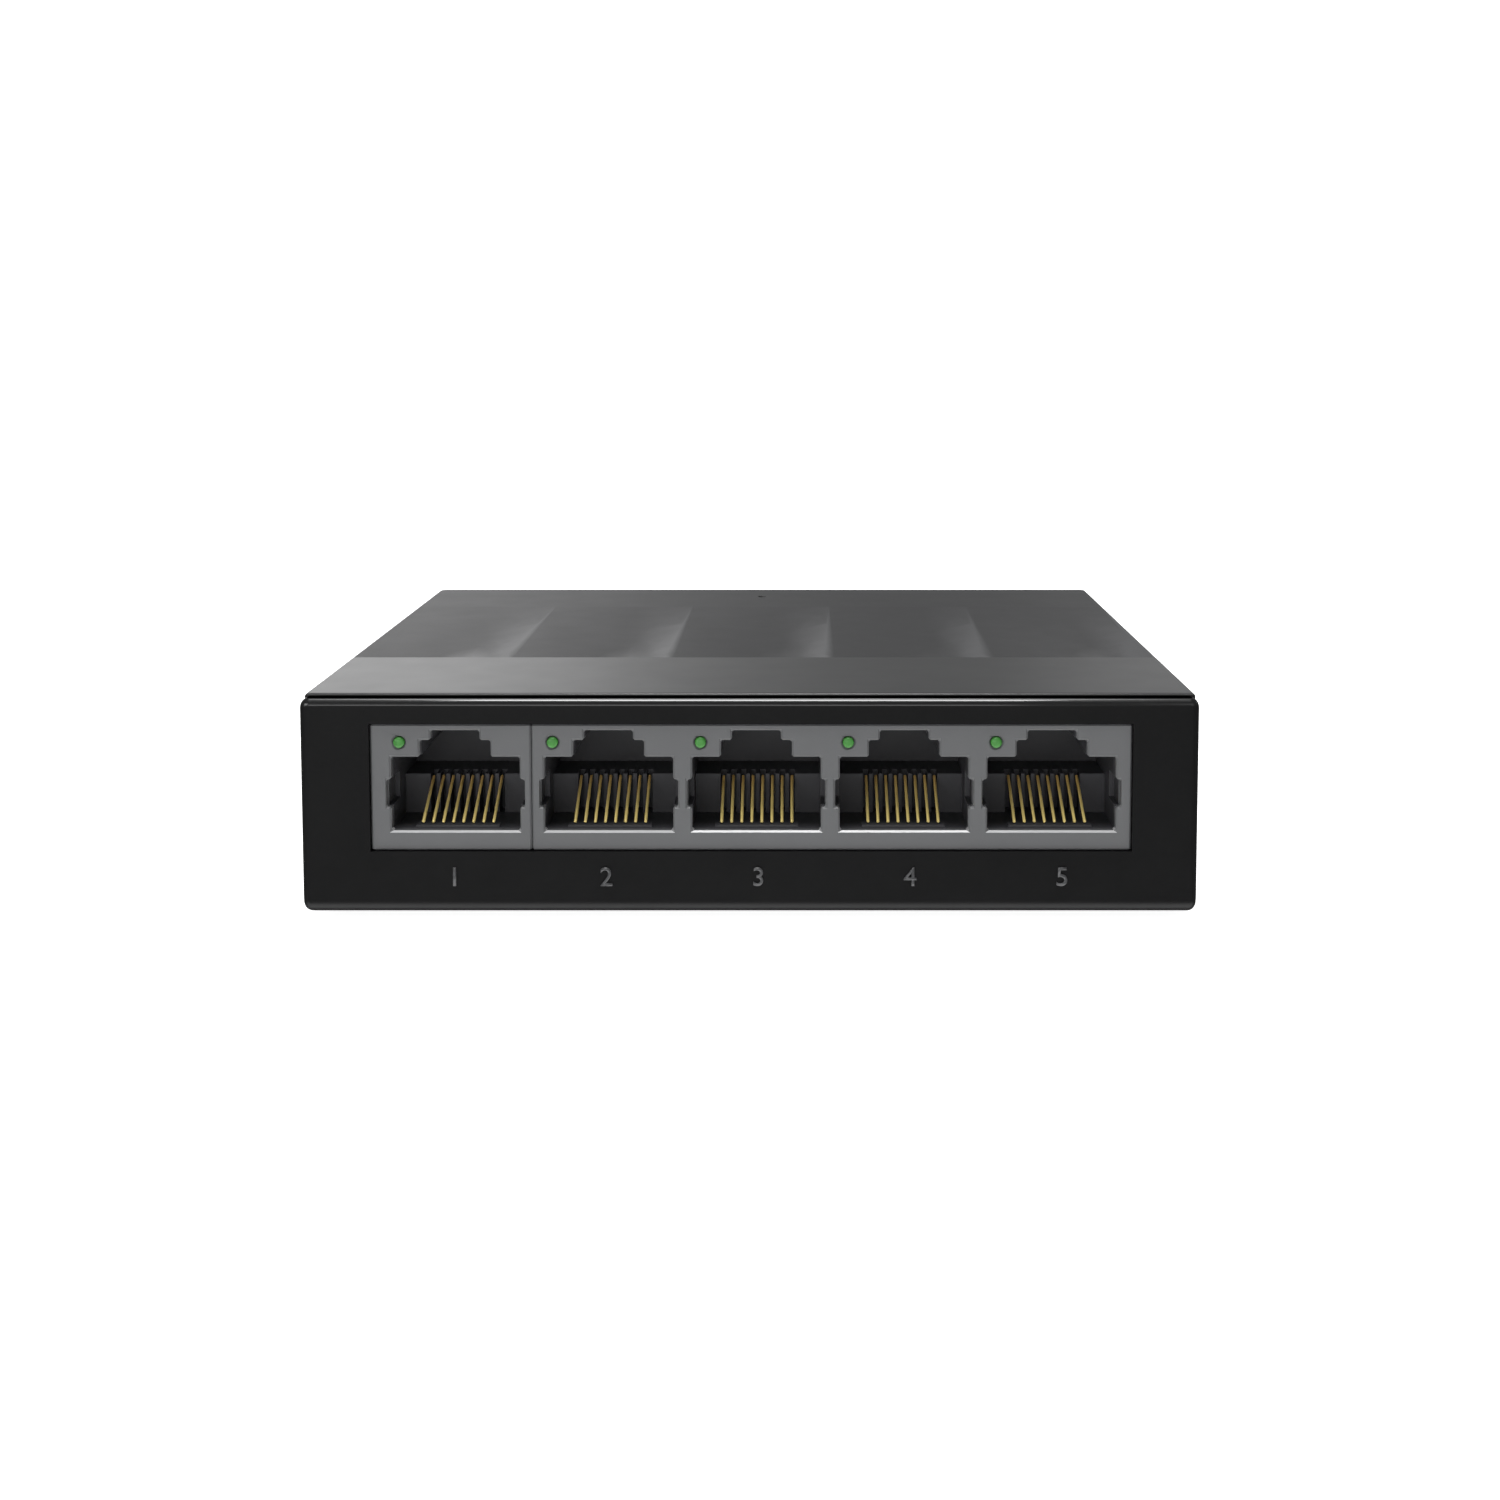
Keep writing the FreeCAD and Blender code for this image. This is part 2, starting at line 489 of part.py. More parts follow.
def make_lid():
    lid = new_body("lid_blank")
    half = "case_width / 2"
    inner = "(case_width / 2 - side_wall)"
    skin = "(case_width / 2 - side_wall + tongue_wall + tongue_gap)"
    outline = sketch_on(lid, "outline", "XY_Plane", PARTING)
    rectangle(outline, (f"-{half}", half), (LID_FRONT, REAR))
    feature(lid, "Pad", outline, "skirt_height")
    rear = size_of(REAR)
    soften(lid, "Fillet", "corner_round", lambda e: upright(e) and abs(e.BoundBox.YMin - rear) < 1e-4)
    soften(lid, "Fillet", "lid_round", lambda e: at_height(e, CASE_TOP))
    # a lowered lip behind the port face makes the dark seam
    lip = sketch_on(lid, "lip", "XZ_Plane", f"-{FRONT} - face_wall - lid_gap")
    rectangle(lip, ("-case_width / 2 + seam_depth", "case_width / 2 - seam_depth"),
              (PARTING, f"{CASE_TOP} - seam_depth"))
    feature(lid, "Pad", lip, "seam_width - lid_gap + 0.2", backwards=True)
    hollow = sketch_on(lid, "hollow", "XZ_Plane", f"-{FRONT}")
    rectangle(hollow, (f"-{inner}", inner), (f"{PARTING} - 1", LID_UNDER))
    feature(lid, "Pocket", hollow, "case_depth - side_wall")
    rebate = sketch_on(lid, "rebate", "XZ_Plane", f"-{FRONT}")
    rectangle(rebate, (f"-{skin}", skin),
              (f"{PARTING} - 1", f"{PARTING} + tongue_height + tongue_gap"))
    feature(lid, "Pocket", rebate, "case_depth - side_wall + tongue_wall + tongue_gap")
    # screw bosses
    bosses = sketch_on(lid, "bosses", "XY_Plane", LID_UNDER)
    boss_end = f"({INSIDE_FLOOR} + seat_height + boss_gap)"
    pilots = sketch_on(lid, "boss_pilots", "XY_Plane", boss_end)
    for x in ("-case_screw_across / 2", "case_screw_across / 2"):
        circle(bosses, x, "case_screw_back", "boss_radius")
        circle(pilots, x, "case_screw_back", "pilot_radius")
    feature(lid, "Pad", bosses, f"{LID_UNDER} - {boss_end}", backwards=True)
    feature(lid, "Pocket", pilots, "boss_pilot_depth", backwards=True)
    # sleeve and pinhole for the power lamp's light pipe
    sleeve = sketch_on(lid, "sleeve", "XY_Plane", LID_UNDER)
    circle(sleeve, "0", "power_lamp_back", "pipe_radius + sleeve_gap + sleeve_wall")
    feature(lid, "Pad", sleeve, "sleeve_length", backwards=True)
    bore = sketch_on(lid, "sleeve_bore", "XY_Plane", f"{LID_UNDER} - sleeve_length")
    circle(bore, "0", "power_lamp_back", "pipe_radius + sleeve_gap")
    feature(lid, "Pocket", bore, "sleeve_length", backwards=True)
    pinhole = sketch_on(lid, "pinhole", "XY_Plane", CASE_TOP)
    circle(pinhole, "0", "power_lamp_back", "pinhole_radius")
    feature(lid, "Pocket", pinhole, "top_wall")
    # snap hooks, two on each side
    foot = f"({LID_UNDER} - hook_drop)"
    for side, sign in (("left", "-"), ("right", "")):
        for step in (0, 1):
            hook = sketch_on(lid, f"hook_{side}_{step}", "XZ_Plane",
                             f"-(hook_front + {step} * hook_spacing) + hook_width / 2")
            outer = f"{sign}(hook_across / 2)"
            inside = f"{sign}(hook_across / 2 - hook_wall)"
            tip = f"{sign}(hook_across / 2 + hook_barb)"
            polygon(hook, [(inside, LID_UNDER), (inside, foot), (outer, foot),
                           (tip, f"{foot} + hook_barb_height * 0.7"),
                           (tip, f"{foot} + hook_barb_height"), (outer, f"{foot} + hook_barb_height"),
                           (outer, LID_UNDER)])
            feature(lid, "Pad", hook, "hook_width", backwards=True)
    cover = cut("top_cover", lid, relief_tool())
    return cover


# Circuit board and what is soldered to it

def make_board():
    board = new_body("circuit_board")
    outline = sketch_on(board, "outline", "XY_Plane", BOARD_UNDER)
    rectangle(outline, ("-board_width / 2", "board_width / 2"),
              (f"{FRONT} + face_wall + board_gap", f"{REAR} - side_wall - board_gap"))
    feature(board, "Pad", outline, "board_thickness")
    holes = sketch_on(board, "holes", "XY_Plane", "board_top")
    for x in ("-post_across / 2", "post_across / 2"):
        for y in ("front_post", "rear_post"):
            circle(holes, x, y, "board_screw_hole")
    for x in ("-case_screw_across / 2", "case_screw_across / 2"):
        circle(holes, x, "case_screw_back", "boss_hole")
    for x in peg_places():
        circle(holes, x, f"{JACK_FRONT} + peg_back", "peg_radius + peg_gap")
    feature(board, "Pocket", holes, "board_thickness")
    return board


def peg_places():
    """The four locating pegs: two under each jack housing."""
    single = f"({SINGLE_LEFT} + single_width / 2)"
    gang = f"({GANG_LEFT} + gang_width / 2)"
    return [f"{single} - single_peg_reach", f"{single} + single_peg_reach",
            f"{gang} - gang_peg_reach", f"{gang} + gang_peg_reach"]


def opening(name, port, front, rear, deep_rear):
    """The stepped space that a plug and its latch go into."""
    x = port_x(port)
    floor = "board_top + port_low"

    def slice_of(part, width, low, high, back):
        sides = (f"{x} - {width} / 2", f"{x} + {width} / 2")
        return block(f"{name}_{part}", sides, (front, back), (low, high))

    pieces = [
        slice_of("main", "port_width", floor, "board_top + port_shoulder", rear),
        slice_of("step", "latch_step_width", floor, "board_top + latch_step", rear),
        slice_of("latch", "latch_slot_width", floor, "board_top + latch_slot", rear),
        slice_of("sides", "side_slot_width", "board_top + side_slot_low",
                 "board_top + side_slot_high", f"{INSERT_FRONT} + side_slot_depth"),
    ]
    if deep_rear:
        ledge = "board_top + comb_top"
        pieces += [
            slice_of("deep", "port_width", ledge, "board_top + port_shoulder", deep_rear),
            slice_of("deep_step", "latch_step_width", ledge, "board_top + latch_step", deep_rear),
            slice_of("deep_latch", "latch_slot_width", ledge, "board_top + latch_slot", deep_rear),
        ]
    return pieces


def lamp_bore(name, port, radius, length):
    x = f"{port_x(port)} - lamp_offset"
    return rod(name, x, f"{JACK_FRONT} - 1", "board_top + lamp_high", radius, length,
               FreeCAD.Vector(0, 1, 0))


def make_housing(name, ports, left, width, pegs):
    """A grey jack housing: face plate, walls round each insert, pegs into the board."""
    rear = f"({JACK_FRONT} + jack_depth)"
    shell = block(f"{name}_shell", (left, f"{left} + {width}"), (JACK_FRONT, rear),
                  ("board_top", "board_top + jack_height"))
    studs = [rod(f"{name}_peg_{i}", x, f"{JACK_FRONT} + peg_back", "board_top - peg_length",
                 "peg_radius", "peg_length + 0.5") for i, x in enumerate(pegs)]
    spaces = []
    for port in ports:
        x = port_x(port)
        spaces.append(block(f"{name}_pocket_{port}",
                            (f"{x} - insert_width / 2 - insert_gap", f"{x} + insert_width / 2 + insert_gap"),
                            (f"{JACK_FRONT} + jack_face", f"{rear} + 1"),
                            ("board_top + insert_low - insert_gap", "board_top + insert_high + insert_gap")))
        mouth = f"{JACK_FRONT} + jack_face + 0.5"
        spaces += opening(f"{name}_mouth_{port}", port, f"{JACK_FRONT} - 1", mouth, None)
        spaces.append(lamp_bore(f"{name}_lamp_bore_{port}", port, "lamp_bore", "jack_face + 1.5"))
    return cut(name, fuse(f"{name}_body", [shell] + studs), fuse(f"{name}_spaces", spaces))


def make_insert(port):
    """The black contact carrier: plug cavity, comb and the nose under the wires."""
    name = f"port_{port}_insert"
    x = port_x(port)
    carrier = block(f"{name}_carrier", (f"{x} - insert_width / 2", f"{x} + insert_width / 2"),
                    (INSERT_FRONT, f"{JACK_FRONT} + jack_depth"),
                    ("board_top + insert_low", "board_top + insert_high"))
    spaces = opening(f"{name}_cavity", port, f"{INSERT_FRONT} - 1", f"{FRONT} + comb_front",
                     f"{FRONT} + cavity_depth")
    for wire in range(COUNT["wires"]):
        middle = f"({x} + ({wire} - {(COUNT['wires'] - 1) / 2}) * wire_pitch)"
        spaces.append(block(f"{name}_comb_{wire}",
                            (f"{middle} - comb_slot_width / 2", f"{middle} + comb_slot_width / 2"),
                            (f"{FRONT} + comb_front - 0.5", f"{FRONT} + comb_front + comb_slot_depth"),
                            ("board_top + port_low", "board_top + comb_slot_high")))
    spaces.append(lamp_bore(f"{name}_lamp_bore", port, "lamp_bore", "lamp_length + 2"))
    nose = block(f"{name}_nose", (f"{x} - nose_width / 2", f"{x} + nose_width / 2"),
                 (INSERT_FRONT, f"{INSERT_FRONT} + nose_depth"),
                 ("board_top + insert_low", "board_top + wire_root_high - wire_radius - nose_gap"))
    return fuse(name, [cut(f"{name}_hollowed", carrier, fuse(f"{name}_spaces", spaces)), nose])


def make_wires(port):
    """Eight gold-plated spring wires, side by side, sloping up into the comb."""
    name = f"port_{port}_contacts"
    wires = new_body(name)
    profile = sketch_on(wires, "profile", "YZ_Plane", f"{port_x(port)} - 3.5 * wire_pitch",
                        (f"{FRONT} + wire_root_back", "board_top + wire_root_high", "wire_tilt"))
    ease = "wire_radius / 2"
    polygon(profile, [("0", "0"), ("wire_length", "0"), ("wire_length", ease),
                      (f"wire_length - {ease}", "wire_radius"), (ease, "wire_radius"), ("0", ease)])
    turn = wires.newObject("PartDesign::Revolution", f"{name}_turn")
    turn.Profile = profile
    turn.ReferenceAxis = (profile, ["H_Axis"])
    turn.Angle = 360
    doc.recompute()
    repeat(wires, profile, "N_Axis", COUNT["wires"], f"{COUNT['wires'] - 1} * wire_pitch")
    return wires


def make_lamp(port):
    """A green lamp: a clear rod with a domed end that stands just proud of the jack."""
    name = f"port_{port}_lamp"
    x = f"{port_x(port)} - lamp_offset"
    y = f"{JACK_FRONT} - lamp_proud + lamp_radius"
    along = FreeCAD.Vector(0, 1, 0)
    stem = rod(f"{name}_stem", x, y, "board_top + lamp_high", "lamp_radius",
               "lamp_length - lamp_radius", along)
    dome = doc.addObject("Part::Sphere", f"{name}_dome")
    bind(dome, Radius="lamp_radius")
    place(dome, x, y, "board_top + lamp_high")
    return fuse(name, [stem, dome])


def make_marks():
    """Raised marks on the face under the ports, one for each numeral."""
    marks = []
    for port in range(1, COUNT["ports"] + 1):
        spread = f"({port_x(port)} - window_centre) * mark_spread"
        x = f"(window_centre + {spread} + mark_shift)"
        marks.append(block(f"port_mark_{port}", (f"{x} - mark_width / 2", f"{x} + mark_width / 2"),
                           (f"{FRONT} - mark_relief", FRONT),
                           ("mark_centre - mark_height / 2", "mark_centre + mark_height / 2")))
    return group("port_numerals", marks)


def make_inlet():
    """Barrel power inlet: housing, centre pin and the leaf that grips the plug."""
    y_axis = FreeCAD.Vector(0, 1, 0)
    front = f"({INLET_REAR} - inlet_depth)"
    bore_end = f"({INLET_REAR} - inlet_bore_depth)"
    shell = block("inlet_shell", ("inlet_across - inlet_width / 2", "inlet_across + inlet_width / 2"),
                  (front, INLET_REAR), ("board_top", "board_top + inlet_height"))
    spaces = [
        rod("inlet_bore", "inlet_across", bore_end, INLET_HIGH, "inlet_bore",
            "inlet_bore_depth + 1", y_axis),
        rod("inlet_pin_hole", "inlet_across", f"{bore_end} - pin_tail", INLET_HIGH, "pin_radius",
            "pin_tail + 1", y_axis),
        block("inlet_leaf_slot",
              ("inlet_across - leaf_slot_width / 2", "inlet_across + leaf_slot_width / 2"),
              (f"{INLET_REAR} - leaf_root_inset", f"{INLET_REAR} - 1.2"),
              (f"{INLET_HIGH} - inlet_bore - leaf_slot_depth", INLET_HIGH)),
    ]
    housing = cut("dc_inlet_housing", shell, fuse("inlet_spaces", spaces))
    pin = rod("dc_inlet_pin", "inlet_across", f"{bore_end} - pin_tail", INLET_HIGH, "pin_radius",
              "inlet_bore_depth + pin_tail - pin_sunk", y_axis)
    leaf = new_body("dc_inlet_leaf")
    profile = sketch_on(leaf, "profile", "YZ_Plane", "inlet_across - leaf_width / 2",
                        (f"{INLET_REAR} - leaf_root_inset + 0.4",
                         f"{INLET_HIGH} - inlet_bore - leaf_slot_depth + 0.4", "leaf_tilt"))
    rectangle(profile, ("0", "leaf_length"), ("0", "leaf_thickness"))
    feature(leaf, "Pad", profile, "leaf_width")
    return [housing, pin, leaf]


def package(name, x, y, width, depth, height, lift, edge):
    """A moulded electronic package on the board, with its edges eased."""
    part = new_body(name)
    outline = sketch_on(part, "outline", "XY_Plane")
    rectangle(outline, (f"-{width} / 2", f"{width} / 2"), (f"-{depth} / 2", f"{depth} / 2"))
    feature(part, "Pad", outline, height)
    soften(part, "Chamfer", edge, lambda item: at_height(item, height))
    return place(part, x, y, f"board_top + {lift}")


def small_chip(name, x, y):
    """A chip component, a plain block with its metal ends."""
    return block(name, (f"{x} - small_chip_width / 2", f"{x} + small_chip_width / 2"),
                 (f"{y} - small_chip_depth / 2", f"{y} + small_chip_depth / 2"),
                 ("board_top", "board_top + small_chip_height"))


def make_electronics():
    parts = []
    behind = f"{JACK_FRONT} + jack_depth + magnetics_behind"
    for port in range(1, COUNT["ports"] + 1):
        parts.append(package(f"port_{port}_magnetics", port_x(port), behind, "magnetics_width",
                             "magnetics_depth", "magnetics_height", "magnetics_lift",
                             "magnetics_edge"))
    for name, measures in PACKAGES.items():
        parts.append(package(name, *[str(measure) for measure in measures]))
    cans = [capacitor(f"capacitor_at_{x}", x, "can_back") for x in ("first_can", "second_can")]
    parts.append(group("capacitors", cans))
    chips = []
    for column in range(COUNT["small_chips"]):
        x = f"(small_chip_left + {column} * small_chip_pitch)"
        for line in ("front", "rear"):
            chips.append(small_chip(f"chip_{column}_{line}", x, f"small_chips_{line}"))
    parts.append(group("chip_components", chips))
    parts.append(small_chip("power_lamp_chip", "0", "power_lamp_back"))
    return parts


def capacitor(name, x, y):
    """An electrolytic can with a groove rolled near its foot."""
    profile = [("0", "0"), ("can_radius", "0"), ("can_radius", "can_groove_low"),
               ("can_radius - can_groove", "(can_groove_low + can_groove_high) / 2"),
               ("can_radius", "can_groove_high"), ("can_radius", "can_height - can_shoulder"),
               ("can_radius - can_shoulder", "can_height"), ("0", "can_height")]
    return turned(name, profile, x, y, "board_top")


# Feet, screws and the power lamp's light pipe

def make_feet():
    feet = []
    profile = [("0", "0"), ("foot_radius - foot_round", "0"), ("foot_radius", "foot_round"),
               ("foot_radius", "foot_lift + foot_sink"), ("0", "foot_lift + foot_sink")]
    for side, x in (("left", "-foot_across / 2"), ("right", "foot_across / 2")):
        for end, y in (("front", "front_foot"), ("rear", "rear_foot")):
            feet.append(turned(f"{end}_{side}_foot", profile, x, y, "0"))
    return feet


def screw(name, x, y, z, length, upside):
    """A pan-head self-tapping screw; its thread is left plain."""
    heads = "-" if upside else ""
    tails = "" if upside else "-"
    profile = [("0", f"{heads}screw_head_height"), ("screw_head_flat", f"{heads}screw_head_height"),
               ("screw_head_radius", f"{heads}screw_head_rim"), ("screw_head_radius", "0"),
               ("screw_radius", "0"), ("screw_radius", f"{tails}({length} - screw_radius)"),
               ("0", f"{tails}{length}")]
    return turned(name, profile, x, y, z)


def make_screws():
    board_screws = []
    case_screws = []
    for side, sign in (("left", "-"), ("right", "")):
        for end, y in (("front", "front_post"), ("rear", "rear_post")):
            board_screws.append(screw(f"board_screw_{end}_{side}", f"{sign}post_across / 2", y,
                                      "board_top", "board_screw_length", False))
        case_screws.append(screw(f"case_screw_{side}", f"{sign}case_screw_across / 2",
                                 "case_screw_back", INSIDE_FLOOR, "case_screw_length", True))
    return [group("board_screws", board_screws), group("case_screws", case_screws)]


def make_light_pipe():
    top = f"({CASE_TOP} - relief_drop - pipe_tip_sunk)"
    shoulder = f"({LID_UNDER} - sleeve_gap)"
    low = "(board_top + pipe_above_board)"
    profile = [("0", low), ("pipe_radius", low), ("pipe_radius", shoulder),
               ("pipe_tip_radius", shoulder), ("pipe_tip_radius", top), ("0", top)]
    return turned("power_lamp_pipe", profile, "0", "power_lamp_back", "0")


def build():
    tub, ring = make_tub()
    feature(tub, "Pad", ring, "mark_relief", backwards=True)
    nodes = [tub, make_lid(), make_board()]
    pegs = peg_places()
    nodes.append(make_housing("single_jack_housing", [1], SINGLE_LEFT, "single_width", pegs[:2]))
    nodes.append(make_housing("gang_jack_housing", [2, 3, 4, 5], GANG_LEFT, "gang_width", pegs[2:]))
    for port in range(1, COUNT["ports"] + 1):
        nodes += [make_insert(port), make_wires(port), make_lamp(port)]
    nodes.append(make_marks())
    nodes += make_inlet()
    nodes += make_electronics()
    nodes += make_feet()
    nodes += make_screws()
    nodes.append(make_light_pipe())
    doc.recompute()
    return nodes


def write(nodes):
    """Checks every object, then writes one STEP file for each node."""
    for item in doc.Objects:
        if "Invalid" in item.State or "Error" in item.State:
            raise ValueError(f"{item.Name}: {item.State}")
    for node in nodes:
        if node.Shape.isNull() or not node.Shape.isValid() or not node.Shape.Solids:
            raise ValueError(f"{node.Label} has no sound shape")
    os.makedirs("parts", exist_ok=True)
    for node in nodes:
        node.Shape.exportStep(f"parts/{node.Label}.step")
        box = node.Shape.BoundBox
        print(f"{node.Label}: {len(node.Shape.Solids)} solid(s), {node.Shape.Volume:.1f} mm3, "
              f"x {box.XMin:.2f}..{box.XMax:.2f} y {box.YMin:.2f}..{box.YMax:.2f} "
              f"z {box.ZMin:.2f}..{box.ZMax:.2f}")


write(build())
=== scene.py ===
import math

import bmesh
import bpy
from mathutils import Matrix, Vector


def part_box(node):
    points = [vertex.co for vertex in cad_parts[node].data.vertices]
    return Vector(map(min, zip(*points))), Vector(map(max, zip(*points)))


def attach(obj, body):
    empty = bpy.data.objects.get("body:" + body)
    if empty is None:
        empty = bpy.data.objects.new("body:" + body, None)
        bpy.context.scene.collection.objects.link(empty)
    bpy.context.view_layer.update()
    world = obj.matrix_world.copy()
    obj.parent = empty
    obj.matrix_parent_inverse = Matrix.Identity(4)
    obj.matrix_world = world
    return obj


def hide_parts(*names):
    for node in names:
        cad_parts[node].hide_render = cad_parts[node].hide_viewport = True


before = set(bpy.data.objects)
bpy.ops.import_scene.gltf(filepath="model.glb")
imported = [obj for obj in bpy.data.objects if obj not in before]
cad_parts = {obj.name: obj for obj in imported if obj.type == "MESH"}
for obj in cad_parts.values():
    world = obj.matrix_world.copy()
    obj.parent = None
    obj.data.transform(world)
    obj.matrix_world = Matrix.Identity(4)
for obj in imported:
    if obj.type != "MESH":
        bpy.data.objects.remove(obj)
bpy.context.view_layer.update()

# ---------------------------------------------------------------------------------------------
# Black tub: the port face, the floor and the lower walls in one moulding.
# Matt black ABS with a fine spark-eroded grain, moulded in one shot and a little polished by
# handling. The board and the lid drop into it from above.
# ---------------------------------------------------------------------------------------------
MM = 0.001
WELD = 0.001 * MM
FLAT = math.radians(0.2)
SHARP = math.radians(50)
COLOUR_DRIFT = 9 * MM
SHEEN_DRIFT = 3 * MM
SHEEN_SWING = 0.10
TUB_EDGE = 0.12 * MM
TUB_BLACK = (0.0040, 0.0041, 0.0043, 1.0)
TUB_WORN = (0.0060, 0.0061, 0.0064, 1.0)
RIM_LOW = 22.2 * MM
RIM_REAR = -34.6 * MM
# Above this height the top of the port face's rim is painted black, as painted shade.
PAINTED_SHADE_LOW = 22.90 * MM
PAINTED_GAP_SHADE = (0.0005, 0.0005, 0.0005, 1.0)


class Value:
    """A number that varies over a finish. A sum on it adds the nodes that work it out."""

    def __init__(self, finish, socket):
        self.finish = finish
        self.socket = socket

    def worked(self, operation, first, second, held=False):
        settings = {"operation": operation, "use_clamp": held}
        return self.finish.add("ShaderNodeMath", settings, {0: first, 1: second})

    def __add__(self, other):
        return self.worked("ADD", self, other)

    def __radd__(self, other):
        return self.worked("ADD", other, self)

    def __sub__(self, other):
        return self.worked("SUBTRACT", self, other)

    def __rsub__(self, other):
        return self.worked("SUBTRACT", other, self)

    def __mul__(self, other):
        return self.worked("MULTIPLY", self, other)

    def __rmul__(self, other):
        return self.worked("MULTIPLY", other, self)

    def step(self, start, width):
        """0 below start, 1 beyond start + width, and a ramp between them."""
        return self.worked("MULTIPLY", self - start, 1 / width, held=True)


class Finish:
    """A procedural finish: one surface shader and the nodes that feed it."""

    def __init__(self, name, constants):
        self.material = bpy.data.materials.new(name)
        self.material.use_nodes = True
        self.tree = self.material.node_tree
        self.shader = self.tree.nodes["Principled BSDF"]
        self.where = self.add("ShaderNodeTexCoord", output="Object")
        self.facing = self.add("ShaderNodeTexCoord", output="Normal")
        for key, value in constants.items():
            self.feed(key, value)

    def feed(self, key, value, node=None):
        socket = (node or self.shader).inputs[key]
        if isinstance(value, Value):
            self.tree.links.new(value.socket, socket)
        else:
            socket.default_value = value

    def add(self, kind, settings=None, values=None, output=0):
        """Adds a node: its settings first, a ramp's stops among them, then its socket values."""
        node = self.tree.nodes.new(kind)
        settings = dict(settings or {})
        stops = settings.pop("stops", ())
        for key, value in settings.items():
            setattr(node, key, value)
        while stops and len(node.color_ramp.elements) < len(stops):
            node.color_ramp.elements.new(0.5)
        for index, (place, glow) in enumerate(stops):
            node.color_ramp.elements[index].position = place
            node.color_ramp.elements[index].color = (glow, glow, glow, 1.0)
        for key, value in (values or {}).items():
            self.feed(key, value, node)
        return Value(self, node.outputs[output])

    def noise(self, size, detail=2.0):
        """Soft noise whose blotches are about that size, in metres."""
        spread = (1 / size, 1 / size, 1 / size)
        place = self.add("ShaderNodeMapping", values={"Vector": self.where, "Scale": spread})
        return self.add("ShaderNodeTexNoise", values={"Vector": place, "Scale": 1.0, "Detail": detail})

    def axis(self, name):
        """Where a point lies along an axis, in metres."""
        return self.add("ShaderNodeSeparateXYZ", values={"Vector": self.where}, output=name)

    def lean(self, name):
        """How far the surface faces along an axis: 1 straight along it, -1 straight against it."""
        return self.add("ShaderNodeSeparateXYZ", values={"Vector": self.facing}, output=name)

    def mix(self, share, first, second):
        """Blends from the first colour to the second by a share from 0 to 1."""
        settings = {"data_type": "RGBA"}
        return self.add("ShaderNodeMix", settings, {0: share, 6: first, 7: second}, output=2)

    def relief(self, height, depth):
        """Bumps the surface by a height from 0 to 1, times the depth in metres."""
        values = {"Height": height, "Distance": depth, "Strength": 1.0}
        self.feed("Normal", self.add("ShaderNodeBump", values=values))

    def shade(self, share, colour):
        """Paints shade: lays a dead matt colour over a share of the finish, a painted shadow as in a
        deep gap.
        """
        matt = self.add("ShaderNodeBsdfDiffuse", values={"Color": colour})
        shiny = Value(self, self.shader.outputs[0])
        both = self.add("ShaderNodeMixShader", values={0: share, 1: shiny, 2: matt})
        self.feed("Surface", both, self.tree.nodes["Material Output"])


def dress(obj, finish):
    """Puts one finish on every face of a piece."""
    if not obj.material_slots:
        obj.data.materials.append(None)
    for place in obj.material_slots:
        place.material = finish.material


def merged(node):
    """The shape of a piece, its loose triangles joined into whole faces."""
    shape = bmesh.new()
    shape.from_mesh(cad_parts[node].data)
    bmesh.ops.remove_doubles(shape, verts=shape.verts, dist=WELD)
    bmesh.ops.dissolve_limit(shape, angle_limit=FLAT, verts=shape.verts, edges=shape.edges)
    bmesh.ops.connect_verts_concave(shape, faces=shape.faces)
    return shape


def solid(shape, name, finish):
    """Turns a worked shape into an object of that name, in one finish."""
    mesh = bpy.data.meshes.new(name)
    shape.to_mesh(mesh)
    shape.free()
    obj = bpy.data.objects.new(name, mesh)
    bpy.context.scene.collection.objects.link(obj)
    dress(obj, finish)
    return obj


def finished(shape, name, finish, nodes):
    """Makes a shape into a smooth piece of the case that stands for those nodes."""
    for face in shape.faces:
        face.smooth = True
    obj = solid(shape, name, finish)
    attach(obj, "switch")
    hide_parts(*nodes)
    return obj


def ease(obj, width):
    """Rounds the sharp edges of a piece and keeps its flat faces flat."""
    rounding = obj.modifiers.new("eased_edges", "BEVEL")
    rounding.width = width
    rounding.segments = 2
    rounding.limit_method = "ANGLE"
    rounding.angle_limit = SHARP
    level = obj.modifiers.new("flat_faces", "WEIGHTED_NORMAL")
    level.keep_sharp = True


def eased_copy(node, name, finish, width):
    """Adds a piece shaped as its node, with its sharp edges eased."""
    ease(finished(merged(node), name, finish, [node]), width)


def moulded(name, colour, worn, roughness, gloss, grain, depth):
    """Moulded plastic: grain in relief, and colour and sheen that drift a little."""
    finish = Finish(name, {"Specular IOR Level": gloss})
    finish.tone = finish.mix(finish.noise(COLOUR_DRIFT), colour, worn)
    finish.feed("Base Color", finish.tone)
    finish.feed("Roughness", roughness + SHEEN_SWING * (finish.noise(SHEEN_DRIFT) - 0.5))
    finish.relief(finish.noise(grain, detail=3.0), depth)
    return finish


case_black = moulded(
    "case_black", TUB_BLACK, TUB_WORN,
    roughness=0.38, gloss=0.19, grain=0.16 * MM, depth=0.006 * MM,
)
# The rim of the port face is glossier, and the top of its edge is painted dead black: painted shade of
# the shadow gap.
front = 1 - case_black.axis("Y").step(RIM_REAR, 0.1 * MM)
case_black.feed("Coat Weight", front * case_black.axis("Z").step(RIM_LOW, 0.2 * MM))
case_black.shade(front * case_black.axis("Z").step(PAINTED_SHADE_LOW, 0.05 * MM), PAINTED_GAP_SHADE)
case_black.feed("Coat Roughness", 0.08)
eased_copy("base_shell", "case_tub", case_black, TUB_EDGE)
